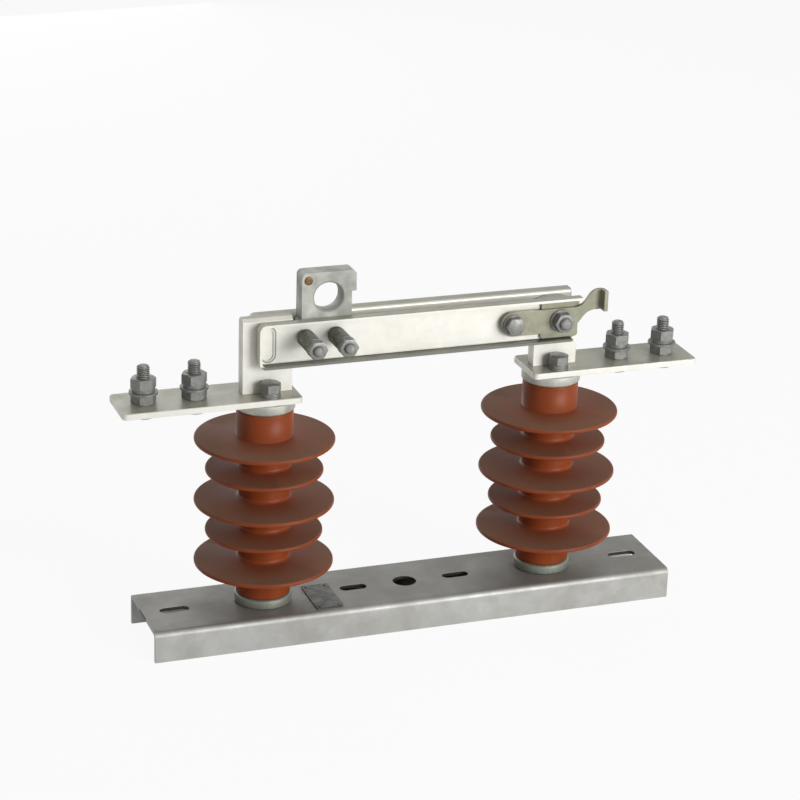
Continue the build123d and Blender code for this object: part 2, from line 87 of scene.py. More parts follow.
def add(tree, kind, values=None, links=None, **settings):
    """Add one node, with its settings, its socket values and the links into it."""
    node = tree.nodes.new(kind)
    for key, value in settings.items():
        setattr(node, key, value)
    for key, value in (values or {}).items():
        node.inputs[key].default_value = value
    for key, socket in (links or {}).items():
        tree.links.new(socket, node.inputs[key])
    return node


def per_metre(millimetres):
    """Texture scale at which one feature of the pattern is this many millimetres wide."""
    return 1000.0 / millimetres


def new_finish(name, metallic, roughness):
    """Empty material with its surface shader and the object's own coordinates."""
    finish = bpy.data.materials.new(name)
    finish.use_nodes = True
    tree = finish.node_tree
    tree.nodes.clear()
    out = add(tree, "ShaderNodeOutputMaterial")
    surface = add(tree, "ShaderNodeBsdfPrincipled", {"Metallic": metallic, "Roughness": roughness})
    tree.links.new(surface.outputs["BSDF"], out.inputs["Surface"])
    place = add(tree, "ShaderNodeTexCoord")
    return finish, tree, surface, place.outputs["Object"]


def two_tones(tree, pattern, low, high, codes):
    """Blend two hex colours by a pattern, from its low value to its high one."""
    spread = add(
        tree, "ShaderNodeMapRange", {"From Min": low, "From Max": high}, {"Value": pattern}
    )
    blend = add(
        tree,
        "ShaderNodeMix",
        {6: linear(codes[0]), 7: linear(codes[1])},
        {0: spread.outputs[0]},
        data_type="RGBA",
    )
    return blend.outputs[2]


def laid_over(tree, under, share, code):
    """Lay a hex colour over another colour, by a share from 0 to 1."""
    blend = add(
        tree, "ShaderNodeMix", {7: linear(code)}, {0: share, 6: under}, data_type="RGBA"
    )
    return blend.outputs[2]


def facing_up(tree, low, high, most, **settings):
    """Share from 0 to this most, as the Z of a face's normal goes from low to high."""
    facing = add(tree, "ShaderNodeTexCoord")
    turned = add(tree, "ShaderNodeSeparateXYZ", links={"Vector": facing.outputs["Normal"]})
    share = add(
        tree,
        "ShaderNodeMapRange",
        {"From Min": low, "From Max": high, "To Min": 0.0, "To Max": most},
        {"Value": turned.outputs["Z"]},
        **settings,
    )
    return share.outputs[0]


def roughness_between(tree, surface, pattern, low, high, smooth, rough):
    """Drive the roughness by a pattern, from its low value to its high one."""
    spread = add(
        tree,
        "ShaderNodeMapRange",
        {"From Min": low, "From Max": high, "To Min": smooth, "To Max": rough},
        {"Value": pattern},
    )
    tree.links.new(spread.outputs[0], surface.inputs["Roughness"])


def relief(tree, surface, pattern, height_mm, strength):
    """Bump whose full height is given in millimetres."""
    bump = add(
        tree,
        "ShaderNodeBump",
        {"Distance": height_mm / 1000, "Strength": strength},
        {"Height": pattern},
    )
    tree.links.new(bump.outputs["Normal"], surface.inputs["Normal"])


def merged_copy(name, nodes):
    """Copy of CAD nodes in one mesh, its doubles merged and its flat faces made whole."""
    work = bmesh.new()
    for node in nodes:
        work.from_mesh(frame["nodes"][node].data)
    bmesh.ops.remove_doubles(work, verts=work.verts, dist=2e-6)
    bmesh.ops.dissolve_limit(
        work, angle_limit=math.radians(0.3), verts=work.verts, edges=work.edges
    )
    mesh = bpy.data.meshes.new(name)
    work.to_mesh(mesh)
    work.free()
    piece = bpy.data.objects.new(name, mesh)
    bpy.context.scene.collection.objects.link(piece)
    return piece


def made_plain(piece):
    """Turn a piece's modifiers into plain mesh, and take the modifiers off."""
    seen = piece.evaluated_get(bpy.context.evaluated_depsgraph_get())
    mesh = bpy.data.meshes.new_from_object(seen)
    mesh.name = piece.name
    piece.modifiers.clear()
    piece.data = mesh


def dress(name, body, finish, nodes, edge_mm, smooth_deg=35):
    """Copy CAD nodes with their sharp edges eased, and give them their finish."""
    piece = merged_copy(name, nodes)
    ease(piece, edge_mm, smooth_deg)
    settle(piece, body, finish, nodes)
    return piece


def ease(piece, edge_mm, smooth_deg=35):
    """Smooth a piece's faces, and give its sharp edges a small bevel of this width."""
    for face in piece.data.polygons:
        face.use_smooth = True
    piece.data.set_sharp_from_angle(angle=math.radians(smooth_deg))
    if edge_mm:
        bevel = piece.modifiers.new("eased_edges", "BEVEL")
        bevel.width = edge_mm / 1000
        bevel.segments = 2
        bevel.limit_method = "ANGLE"
        bevel.angle_limit = math.radians(smooth_deg)
        bevel.harden_normals = True
        made_plain(piece)


def settle(piece, body, finish, nodes):
    """Give a piece its finish and its body, and hide the CAD nodes it stands for."""
    piece.data.materials.clear()
    piece.data.materials.append(finish)
    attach(piece, body)
    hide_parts(*nodes)


# Hot-dip galvanised mild steel, some years old: dull mid grey zinc with soft
# crystal patches about 14 mm wide, cloudy stains and a fine dry grain, with painted
# shade darkening it where it faces up.
galvanised, tree, surface, place = new_finish("galvanised_mild_steel", 0.45, 0.55)
crystals = add(
    tree,
    "ShaderNodeTexVoronoi",
    {"Scale": per_metre(14), "Randomness": 1.0},
    {"Vector": place},
)
crystal_grey = add(tree, "ShaderNodeSeparateColor", links={"Color": crystals.outputs["Color"]})
clouds = add(
    tree,
    "ShaderNodeTexNoise",
    {"Scale": per_metre(45), "Detail": 6.0, "Roughness": 0.6},
    {"Vector": place},
)
grain = add(
    tree,
    "ShaderNodeTexNoise",
    {"Scale": per_metre(1.4), "Detail": 3.0},
    {"Vector": place},
)
zinc = two_tones(tree, crystal_grey.outputs[0], 0.0, 1.0, ("adadab", "b4b4b2"))
stains = two_tones(tree, clouds.outputs["Fac"], 0.3, 0.7, ("dedcd4", "ffffff"))
zinc_stained = add(
    tree,
    "ShaderNodeMix",
    {0: 1.0},
    {6: zinc, 7: stains},
    data_type="RGBA",
    blend_type="MULTIPLY",
)
# Painted shade: faces that look up are darkened towards 6c6b64.
zinc_with_painted_top_shade = laid_over(tree, zinc_stained.outputs[2], facing_up(tree, 0.6, 0.95, 0.6), "6c6b64")

# Painted shade darkens the cut walls of the slots and of the round hole, within 13 mm
# of the channel's middle line and below the web's top face.
CUT_WALLS_WITHIN, CUT_WALLS_BELOW = 0.013, 0.0005
web_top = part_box("base_channel")[1].z
at = add(tree, "ShaderNodeSeparateXYZ", links={"Vector": place})
off_middle = add(tree, "ShaderNodeMath", links={0: at.outputs["Y"]}, operation="ABSOLUTE")
near_middle = add(
    tree,
    "ShaderNodeMath",
    {1: CUT_WALLS_WITHIN},
    {0: off_middle.outputs[0]},
    operation="LESS_THAN",
)
under_top = add(
    tree,
    "ShaderNodeMath",
    {1: web_top - CUT_WALLS_BELOW},
    {0: at.outputs["Z"]},
    operation="LESS_THAN",
)
painted_cut_shade = add(
    tree,
    "ShaderNodeMath",
    links={0: near_middle.outputs[0], 1: under_top.outputs[0]},
    operation="MULTIPLY",
)
zinc_with_painted_cut_shade = laid_over(tree, zinc_with_painted_top_shade, painted_cut_shade.outputs[0], "34342f")
tree.links.new(zinc_with_painted_cut_shade, surface.inputs["Base Color"])
roughness_between(tree, surface, clouds.outputs["Fac"], 0.3, 0.7, 0.62, 0.46)
relief(tree, surface, grain.outputs["Fac"], 0.08, 0.5)
dress("base_channel_dressed", "base", galvanised, ["base_channel"], 0.5)

# Nameplate. A blank plate of thin aluminium sheet, dark anodised, held on the
# channel with four small domed rivets.
# Dark anodised aluminium, brushed before it was dyed: fine lines along its length,
# 0.5 mm apart, and paler rubs where the dye has worn thin.
anodised, tree, surface, place = new_finish("dark_anodised_aluminium", 0.6, 0.5)
stretched = add(
    tree, "ShaderNodeMapping", {"Scale": (1.0, 0.06, 1.0)}, {"Vector": place}
)
lines = add(
    tree,
    "ShaderNodeTexNoise",
    {"Scale": per_metre(0.5), "Detail": 2.0},
    {"Vector": stretched.outputs[0]},
)
rubs = add(
    tree,
    "ShaderNodeTexNoise",
    {"Scale": per_metre(9), "Detail": 5.0, "Roughness": 0.65},
    {"Vector": place},
)
dyed = two_tones(tree, rubs.outputs["Fac"], 0.42, 0.72, ("454542", "72726d"))
tree.links.new(dyed, surface.inputs["Base Color"])
relief(tree, surface, lines.outputs["Fac"], 0.03, 0.5)
dress("nameplate_dressed", "base", anodised, ["nameplate"], 0.15)

# Post insulators. A glass-fibre rod with a galvanised steel end pressed on at
# each end, and silicone rubber moulded over it in one piece with its five sheds.
# Turned steel, dull galvanised: light grey with faint rings from the lathe,
# 0.8 mm apart, and a slight yellow cast from age, with painted shade darker low down near the
# channel.
fitting, tree, surface, place = new_finish("galvanised_turned_steel", 0.55, 0.5)
patches = add(
    tree,
    "ShaderNodeTexNoise",
    {"Scale": per_metre(12), "Detail": 4.0},
    {"Vector": place},
)
rings = add(
    tree,
    "ShaderNodeTexWave",
    {"Scale": per_metre(0.8) / (2 * math.pi), "Distortion": 1.5, "Detail": 1.0},
    {"Vector": place},
    bands_direction="Z",
)
steel = two_tones(tree, patches.outputs["Fac"], 0.35, 0.65, ("a3a59c", "bcbdb4"))
# Painted shade: a dark olive grey laid on up to 0.7 below 0.04 m, fading out by 0.1 m.
LOW_SHADE_FULL_BELOW, LOW_SHADE_GONE_ABOVE = 0.04, 0.1  # heights over the floor
at = add(tree, "ShaderNodeSeparateXYZ", links={"Vector": place})
painted_low_shade = add(
    tree,
    "ShaderNodeMapRange",
    {"From Min": LOW_SHADE_FULL_BELOW, "From Max": LOW_SHADE_GONE_ABOVE, "To Min": 0.7, "To Max": 0.0},
    {"Value": at.outputs["Z"]},
)
steel_with_painted_low_shade = laid_over(tree, steel, painted_low_shade.outputs[0], "6d7164")
tree.links.new(steel_with_painted_low_shade, surface.inputs["Base Color"])
relief(tree, surface, rings.outputs["Fac"], 0.03, 0.4)
for side in ("left", "right"):
    for end in ("foot", "cap"):
        node = f"{side}_insulator_{end}"
        dress(f"{node}_dressed", "base", fitting, [node], 0.2)

# Moulded silicone rubber: red-brown and satin, greyed by dust where a face looks up,
# kept dark red near the core by painted shade, with a faint orange-peel skin about 2 mm across.
silicone, tree, surface, place = new_finish("silicone_rubber", 0.0, 0.5)
surface.inputs["Specular IOR Level"].default_value = 0.25
blotches = add(
    tree,
    "ShaderNodeTexNoise",
    {"Scale": per_metre(30), "Detail": 5.0, "Roughness": 0.6},
    {"Vector": place},
)
rubber = two_tones(tree, blotches.outputs["Fac"], 0.3, 0.7, ("7d3611", "8b3e18"))
dust_lies = facing_up(tree, 0.55, 0.98, 0.72, interpolation_type="SMOOTHSTEP")
dust_patchy = add(
    tree,
    "ShaderNodeMapRange",
    {"From Min": 0.3, "From Max": 0.7, "To Min": 0.75, "To Max": 1.0},
    {"Value": blotches.outputs["Fac"]},
)
dust_even = add(
    tree,
    "ShaderNodeMath",
    links={0: dust_lies, 1: dust_patchy.outputs[0]},
    operation="MULTIPLY",
)
# Painted shade: the dust is cut to 0.3 within 28 mm of the axis and comes back in full at 58 mm, so
# the sheds stay dark red near the core.
CORE_SHADE_WITHIN, CORE_SHADE_GONE_BEYOND = 0.028, 0.058  # distances from the insulator's axis
foot_low, foot_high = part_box("right_insulator_foot")
post_x = (foot_low.x + foot_high.x) / 2
at = add(tree, "ShaderNodeSeparateXYZ", links={"Vector": place})
from_middle = add(tree, "ShaderNodeMath", links={0: at.outputs["X"]}, operation="ABSOLUTE")
from_post = add(
    tree, "ShaderNodeMath", {1: post_x}, {0: from_middle.outputs[0]}, operation="SUBTRACT"
)
from_axis = add(
    tree, "ShaderNodeCombineXYZ", links={"X": from_post.outputs[0], "Y": at.outputs["Y"]}
)
radius = add(
    tree, "ShaderNodeVectorMath", links={0: from_axis.outputs[0]}, operation="LENGTH"
)
dust_thinned_in_core_shade = add(
    tree,
    "ShaderNodeMapRange",
    {"From Min": CORE_SHADE_WITHIN, "From Max": CORE_SHADE_GONE_BEYOND, "To Min": 0.3, "To Max": 1.0},
    {"Value": radius.outputs["Value"]},
)
dust_and_core_shade = add(
    tree,
    "ShaderNodeMath",
    links={0: dust_even.outputs[0], 1: dust_thinned_in_core_shade.outputs[0]},
    operation="MULTIPLY",
)
rubber_dust_and_core_shade = laid_over(tree, rubber, dust_and_core_shade.outputs[0], "7c6553")
tree.links.new(rubber_dust_and_core_shade, surface.inputs["Base Color"])
roughness_between(tree, surface, dust_and_core_shade.outputs[0], 0.0, 0.7, 0.46, 0.75)
skin = add(
    tree,
    "ShaderNodeTexNoise",
    {"Scale": per_metre(2.0), "Detail": 2.0},
    {"Vector": place},
)
relief(tree, surface, skin.outputs["Fac"], 0.05, 0.35)
for side in ("left", "right"):
    node = f"{side}_insulator_sheds"
    dress(f"{node}_dressed", "base", silicone, [node], 0, 40)

# Bolts under the channel. One M16 hexagon bolt with a plain washer goes up
# through the web into each insulator's foot.
# Hot-dip galvanised bolt steel: darker grey than the sheet, dry and grainy where
# the zinc has dulled, with 0.9 mm grain and rubbed lighter patches.
bolt_steel, tree, surface, place = new_finish("dull_galvanised_bolt_steel", 0.6, 0.5)
dulled = add(
    tree,
    "ShaderNodeTexNoise",
    {"Scale": per_metre(5), "Detail": 5.0, "Roughness": 0.65},
    {"Vector": place},
)
zinc_grain = add(
    tree,
    "ShaderNodeTexNoise",
    {"Scale": per_metre(0.9), "Detail": 2.0},
    {"Vector": place},
)
bolt_grey = two_tones(tree, dulled.outputs["Fac"], 0.35, 0.68, ("767673", "8a8a86"))
tree.links.new(bolt_grey, surface.inputs["Base Color"])
roughness_between(tree, surface, dulled.outputs["Fac"], 0.35, 0.68, 0.58, 0.42)
relief(tree, surface, zinc_grain.outputs["Fac"], 0.06, 0.5)
for node in ("base_bolts", "base_washers"):
    dress(f"{node}_dressed", "base", bolt_steel, [node], 0.25)

# Terminal bars. Flat copper bar sawn to length, drilled, its corners rounded
# and its edges broken, then tin plated.
# Tin-plated copper: pale silver with a warm olive cast, satin, with fine lines
# 0.4 mm apart along the bar from rolling and faint grey bloom in patches, and painted
# shade that makes it a darker olive where it faces up.
def tin_plate(name):
    """Tin on rolled copper, darker olive on faces that look up as painted shade; give the finish, its
    tree, surface, place and colour.
    """
    finish, tree, surface, place = new_finish(name, 0.35, 0.42)
    rolled = add(
        tree, "ShaderNodeMapping", {"Scale": (0.04, 1.0, 1.0)}, {"Vector": place}
    )
    rolling = add(
        tree,
        "ShaderNodeTexNoise",
        {"Scale": per_metre(0.4), "Detail": 2.0},
        {"Vector": rolled.outputs[0]},
    )
    bloom = add(
        tree,
        "ShaderNodeTexNoise",
        {"Scale": per_metre(22), "Detail": 5.0, "Roughness": 0.6},
        {"Vector": place},
    )
    clean = two_tones(tree, bloom.outputs["Fac"], 0.32, 0.68, ("d9d7ce", "e8e6de"))
    # Painted shade: faces that look up are darkened to olive 7f7e69.
    tin_with_painted_top_shade = laid_over(tree, clean, facing_up(tree, 0.6, 0.95, 0.7), "7f7e69")
    tree.links.new(tin_with_painted_top_shade, surface.inputs["Base Color"])
    roughness_between(tree, surface, bloom.outputs["Fac"], 0.3, 0.7, 0.5, 0.36)
    relief(tree, surface, rolling.outputs["Fac"], 0.02, 0.4)
    return finish, tree, surface, place, tin_with_painted_top_shade


tinned = tin_plate("tin_plated_copper")[0]
for side in ("left", "right"):
    node = f"{side}_terminal_bar"
    dress(f"{node}_dressed", "base", tinned, [node], 0.2)

# Contact and hinge posts. Each is two leaves of 7 mm copper set back to back,
# brazed upright on the terminal bar and tin plated with it.
for post in ("contact", "hinge"):
    for half in ("front", "back"):
        node = f"{post}_{half}_leaf"
        dress(f"{node}_dressed", "base", tinned, [node], 0.35)

# Clamp bolts. Two M12 hexagon bolts, each with a plain and a split spring washer,
# hold the bar down on each insulator's cap, one on each side of the post.
for node in ("clamp_bolts", "clamp_washers", "clamp_spring_washers"):
    dress(f"{node}_dressed", "base", bolt_steel, [node], 0.25)

# Terminal bolts. Two half-inch bolts stand up through each bar, held by a low nut,
# with a washer, a split spring washer and a second nut above for the cable lug.
THREAD_DEPTH_SHARE = 0.55  # of the pitch, from the core to the crest
THREAD_HALF_WIDTH_SHARE = 0.47  # of the pitch, a little under half, so that turns stay apart
TURN_STEPS = 20  # straight steps in one turn of a thread or a coil


def worked_out(tree, first, second, operation="MULTIPLY"):
    """One step of arithmetic on two sockets or numbers, in any node tree."""
    node = add(tree, "ShaderNodeMath", operation=operation)
    for socket, given in zip(node.inputs, (first, second)):
        if isinstance(given, (int, float)):
            socket.default_value = given
        else:
            tree.links.new(given, socket)
    return node.outputs[0]


def wound_tree(name, sizes):
    """Start a Geometry Nodes tree with its named inputs; give it and their sockets."""
    tree = bpy.data.node_groups.new(name, "GeometryNodeTree")
    tree.interface.new_socket("Geometry", in_out="INPUT", socket_type="NodeSocketGeometry")
    for size in sizes:
        tree.interface.new_socket(size, in_out="INPUT", socket_type="NodeSocketFloat")
    tree.interface.new_socket("Finish", in_out="INPUT", socket_type="NodeSocketMaterial")
    tree.interface.new_socket("Geometry", in_out="OUTPUT", socket_type="NodeSocketGeometry")
    return tree, add(tree, "NodeGroupInput").outputs


def end_at_places(tree, given, wound):
    """Put the wound shape at each point of the mesh, make it real and give its finish."""
    at_places = add(
        tree,
        "GeometryNodeInstanceOnPoints",
        links={"Points": given["Geometry"], "Instance": wound},
    )
    real = add(tree, "GeometryNodeRealizeInstances", links={0: at_places.outputs[0]})
    smooth = add(tree, "GeometryNodeSetShadeSmooth", links={0: real.outputs[0]})
    finished = add(
        tree,
        "GeometryNodeSetMaterial",
        links={"Geometry": smooth.outputs[0], "Material": given["Finish"]},
    )
    out = add(tree, "NodeGroupOutput")
    tree.links.new(finished.outputs[0], out.inputs[0])


# The thread is wound up +Z from each point: a four-sided bar on its corner follows
# the core, so that its outer half is the thread's vee, and it tapers out at both ends.
thread, given = wound_tree("rolled_thread", ("Core Radius", "Pitch", "Length"))
turns = worked_out(thread, given["Length"], given["Pitch"], "DIVIDE")
helix = add(
    thread,
    "GeometryNodeCurveSpiral",
    {"Resolution": TURN_STEPS},
    {
        "Rotations": turns,
        "Start Radius": given["Core Radius"],
        "End Radius": given["Core Radius"],
        "Height": given["Length"],
    },
)
upright = add(thread, "GeometryNodeSetCurveNormal", links={"Curve": helix.outputs[0]}, mode="Z_UP")
along = add(thread, "GeometryNodeSplineParameter").outputs["Factor"]
to_end = worked_out(thread, 1.0, along, "SUBTRACT")
nearer = worked_out(thread, along, to_end, "MINIMUM")
turns_in = worked_out(thread, nearer, turns)
run_out = add(
    thread,
    "ShaderNodeMapRange",
    {"From Max": 0.5, "To Min": 0.1, "To Max": 1.0},
    {"Value": turns_in},
)
corner_bar = add(thread, "GeometryNodeCurvePrimitiveCircle", {"Resolution": 4, "Radius": 1.0})
half_deep = worked_out(thread, given["Pitch"], THREAD_DEPTH_SHARE)
half_wide = worked_out(thread, given["Pitch"], THREAD_HALF_WIDTH_SHARE)
bar_size = add(thread, "ShaderNodeCombineXYZ", {"Z": 1.0}, {"X": half_deep, "Y": half_wide})
vee = add(
    thread,
    "GeometryNodeTransform",
    links={"Geometry": corner_bar.outputs[0], "Scale": bar_size.outputs[0]},
)
wound = add(
    thread,
    "GeometryNodeCurveToMesh",
    {"Fill Caps": True},
    {"Curve": upright.outputs[0], "Profile Curve": vee.outputs[0], "Scale": run_out.outputs[0]},
)
end_at_places(thread, given, wound.outputs[0])


def wind(name, tree, places, turn, sizes, finish):
    """Wind a tree's shape at each place, turned from +Z, as plain mesh."""
    mesh = bpy.data.meshes.new(name)
    mesh.from_pydata([turn.inverted() @ Vector(place) for place in places], [], [])
    piece = bpy.data.objects.new(name, mesh)
    bpy.context.scene.collection.objects.link(piece)
    winding = piece.modifiers.new("winding", "NODES")
    winding.node_group = tree
    for socket in tree.interface.items_tree:
        if socket.in_out == "INPUT" and socket.name in sizes:
            winding[socket.identifier] = sizes[socket.name]
        elif socket.in_out == "INPUT" and socket.name == "Finish":
            winding[socket.identifier] = finish
    made_plain(piece)
    piece.data.transform(turn.to_4x4())
    return piece


def joined(name, pieces):
    """Join meshes into the first one's object, under a new name."""
    work = bmesh.new()
    for piece in pieces:
        work.from_mesh(piece.data)
    mesh = bpy.data.meshes.new(name)
    work.to_mesh(mesh)
    work.free()
    for piece in pieces:
        bpy.data.objects.remove(piece)
    whole = bpy.data.objects.new(name, mesh)
    bpy.context.scene.collection.objects.link(whole)
    return whole


SHANK_FROM, SHANK_TO = 0.7, 1.02  # shares of the radius that hold a shank's own vertices


def threaded_bolts(node, body, axis, centres, radius, pitch, low, high):
    """Copy bolts, turn their shanks down to the core, and wind the thread on them."""
    turn = Vector((0, 0, 1)).rotation_difference(Vector(axis)).to_matrix()
    core = radius - THREAD_DEPTH_SHARE * pitch
    bolts = merged_copy(f"{node}_shanks", [node])
    back = turn.inverted()
    for vertex in bolts.data.vertices:
        at = back @ vertex.co
        for centre in centres:
            middle = back @ Vector(centre)
            out = Vector((at.x - middle.x, at.y - middle.y, 0))
            if radius * SHANK_FROM < out.length < radius * SHANK_TO:
                at -= out * ((radius - core) / radius)
                vertex.co = turn @ at
    ease(bolts, 0.2)
    places = [Vector(c) + Vector(axis) * low for c in centres]
    sizes = {"Core Radius": core, "Pitch": pitch, "Length": high - low}
    threads = wind(f"{node}_threads", thread, places, turn, sizes, bolt_steel)
    whole = joined(f"{node}_threaded", [bolts, threads])
    settle(whole, body, bolt_steel, [node])
    return whole


HALF_INCH_RADIUS, HALF_INCH_PITCH = 0.00635, 0.00195
THREAD_END_GAP = 0.0006  # from the thread's end to the bolt's end, for the chamfer
nut_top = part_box("terminal_nuts")[1].z
for side in ("left", "right"):
    node = f"{side}_terminal_bolts"
    low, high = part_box(node)
    head_corner = (high.y - low.y) / 3**0.5
    threaded_bolts(
        node,
        "base",
        (0, 0, 1),
        [(low.x + head_corner, 0, 0), (high.x - head_corner, 0, 0)],
        HALF_INCH_RADIUS,
        HALF_INCH_PITCH,
        nut_top - HALF_INCH_PITCH,
        high.z - THREAD_END_GAP,
    )
for node in ("terminal_nuts", "terminal_washers", "terminal_spring_washers"):
    dress(f"{node}_dressed", "base", bolt_steel, [node], 0.25)

# Blade. Two strips of 2.5 mm copper, pressed to a shallow channel with a stiffening
# rib at the contact, tin plated, and set back to back either side of the posts.
# The same tin, with painted shade along the lowest 3 mm of each strip, on the edge of
# the lower flange, and in a dark line round the pressed rib.
LIP_SHADE_FULL_TO, LIP_SHADE_GONE_AT = 0.0026, 0.0042
RIB_WIDTH, RIB_HEIGHT, RIB_TO_TIP = 0.0145, 0.0355, 0.011
RIB_SHADE_WIDTH = 0.0011
strip_low, strip_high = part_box("blade_front_strip")
edge_shaded_tin, tree, surface, place, tin_with_painted_top_shade = tin_plate("edge_shaded_tin_plated_copper")
height = add(tree, "ShaderNodeSeparateXYZ", links={"Vector": place})
# Painted shade: the strip darkened along its lowest 3 mm, on the lower flange's edge.
painted_lip_shade = add(
    tree,
    "ShaderNodeMapRange",
    {
        "From Min": strip_low.z + LIP_SHADE_FULL_TO,
        "From Max": strip_low.z + LIP_SHADE_GONE_AT,
        "To Min": 0.85,
        "To Max": 0.0,
    },
    {"Value": height.outputs["Z"]},
)
rib_x = strip_low.x + RIB_TO_TIP
rib_z = (strip_low.z + strip_high.z) / 2
# The distance from a point of the strip to the rib's outline, a slot with round ends.
across = worked_out(tree, height.outputs["X"], rib_x, "SUBTRACT")
above = worked_out(tree, height.outputs["Z"], rib_z, "SUBTRACT")
from_middle = worked_out(tree, above, 0.0, "ABSOLUTE")
past_straight = worked_out(tree, from_middle, (RIB_HEIGHT - RIB_WIDTH) / 2, "SUBTRACT")
past_straight = worked_out(tree, past_straight, 0.0, "MAXIMUM")
across_squared = worked_out(tree, across, across, "MULTIPLY")
past_squared = worked_out(tree, past_straight, past_straight, "MULTIPLY")
to_axis = worked_out(tree, worked_out(tree, across_squared, past_squared, "ADD"), 0.0, "SQRT")
beside_line = worked_out(tree, to_axis, RIB_WIDTH / 2, "SUBTRACT")
from_line = worked_out(tree, beside_line, 0.0, "ABSOLUTE")
# Painted shade: a dark line about 1 mm wide on the rib's outline.
painted_rib_shade = add(
    tree,
    "ShaderNodeMapRange",
    {"From Min": RIB_SHADE_WIDTH / 2, "From Max": RIB_SHADE_WIDTH, "To Min": 0.7, "To Max": 0.0},
    {"Value": from_line},
)
painted_edge_shade = worked_out(tree, painted_lip_shade.outputs[0], painted_rib_shade.outputs[0], "MAXIMUM")
tin_with_painted_edge_shade = laid_over(tree, tin_with_painted_top_shade, painted_edge_shade, "4c4d43")
tree.links.new(tin_with_painted_edge_shade, surface.inputs["Base Color"])
for half in ("front", "back"):
    node = f"blade_{half}_strip"
    dress(f"{node}_dressed", "blade", edge_shaded_tin, [node], 0.25)

# Pull eye. Sand-cast aluminium alloy, fettled but not machined outside, held
# between the strips by the sprung bolts, with a brass rivet in its shoulder.
# Sand-cast aluminium: matt mid grey with a pebbled skin of 1.1 mm grains, darker
# in its pits, and smoother where hands and hooks rub it.
cast, tree, surface, place = new_finish("sand_cast_aluminium", 0.5, 0.6)
pebbles = add(
    tree,
    "ShaderNodeTexNoise",
    {"Scale": per_metre(1.1), "Detail": 3.0, "Roughness": 0.55},
    {"Vector": place},
)
handled = add(
    tree,
    "ShaderNodeTexNoise",
    {"Scale": per_metre(14), "Detail": 4.0},
    {"Vector": place},
)
cast_grey = two_tones(tree, handled.outputs["Fac"], 0.35, 0.65, ("9a9b94", "abaca5"))
tree.links.new(cast_grey, surface.inputs["Base Color"])
roughness_between(tree, surface, handled.outputs["Fac"], 0.35, 0.65, 0.68, 0.5)
relief(tree, surface, pebbles.outputs["Fac"], 0.15, 0.6)
dress("pull_eye_dressed", "blade", cast, ["pull_eye"], 0.8)

# Brass, tarnished brown in blotches 2 mm across, lighter and glossier between them.
brass, tree, surface, place = new_finish("tarnished_brass", 1.0, 0.42)
tarnish = add(
    tree,
    "ShaderNodeTexNoise",
    {"Scale": per_metre(2), "Detail": 4.0},
    {"Vector": place},
)
browned = two_tones(tree, tarnish.outputs["Fac"], 0.35, 0.65, ("5a4530", "7c6245"))
tree.links.new(browned, surface.inputs["Base Color"])
roughness_between(tree, surface, tarnish.outputs["Fac"], 0.35, 0.65, 0.5, 0.32)
dress("eye_rivet_dressed", "blade", brass, ["eye_rivet"], 0)

# Sprung bolts. Two M10 bolts through the strips and the casting carry coil
# springs, washers and nuts that press the strips on the contact post.
M10_RADIUS, M10_PITCH = 0.005, 0.0015
M10_THREAD_FROM = 0.013  # distance from the blade's middle plane
WIRE_RADIUS = 0.0013
COIL_TURNS = 9.0
EVEN_SHARE = 0.45  # share of the rise that is even; the rest bunches at the closed ends
coil, given = wound_tree("closed_end_coil", ("Coil Radius", "Wire Radius", "Turns", "Rise"))
flat_coil = add(
    coil,
    "GeometryNodeCurveSpiral",
    {"Resolution": 28, "Height": 0.0},
    {
        "Rotations": given["Turns"],
        "Start Radius": given["Coil Radius"],
        "End Radius": given["Coil Radius"],
    },
)
along = add(coil, "GeometryNodeSplineParameter").outputs["Factor"]
bunched = add(
    coil, "ShaderNodeMapRange", links={"Value": along}, interpolation_type="SMOOTHSTEP"
).outputs[0]
even = worked_out(coil, along, EVEN_SHARE)
bunched = worked_out(coil, bunched, 1 - EVEN_SHARE)
share = worked_out(coil, even, bunched, "ADD")
rise = worked_out(coil, share, given["Rise"])
lift = add(coil, "ShaderNodeCombineXYZ", links={"Z": rise})
lifted = add(
    coil,
    "GeometryNodeSetPosition",
    links={"Geometry": flat_coil.outputs[0], "Offset": lift.outputs[0]},
)
wire = add(
    coil, "GeometryNodeCurvePrimitiveCircle", {"Resolution": 10}, {"Radius": given["Wire Radius"]}
)
wound = add(
    coil,
    "GeometryNodeCurveToMesh",
    {"Fill Caps": True},
    {"Curve": lifted.outputs[0], "Profile Curve": wire.outputs[0]},
)
end_at_places(coil, given, wound.outputs[0])

# Dull plated spring wire: olive grey, satin, with a thin film of dried grease that
# gathers in patches about 3 mm across.
spring_wire, tree, surface, place = new_finish("plated_spring_wire", 0.75, 0.42)
grease = add(
    tree,
    "ShaderNodeTexNoise",
    {"Scale": per_metre(3), "Detail": 3.0},
    {"Vector": place},
)
olive = two_tones(tree, grease.outputs["Fac"], 0.35, 0.65, ("606057", "74746a"))
tree.links.new(olive, surface.inputs["Base Color"])
roughness_between(tree, surface, grease.outputs["Fac"], 0.35, 0.65, 0.52, 0.36)

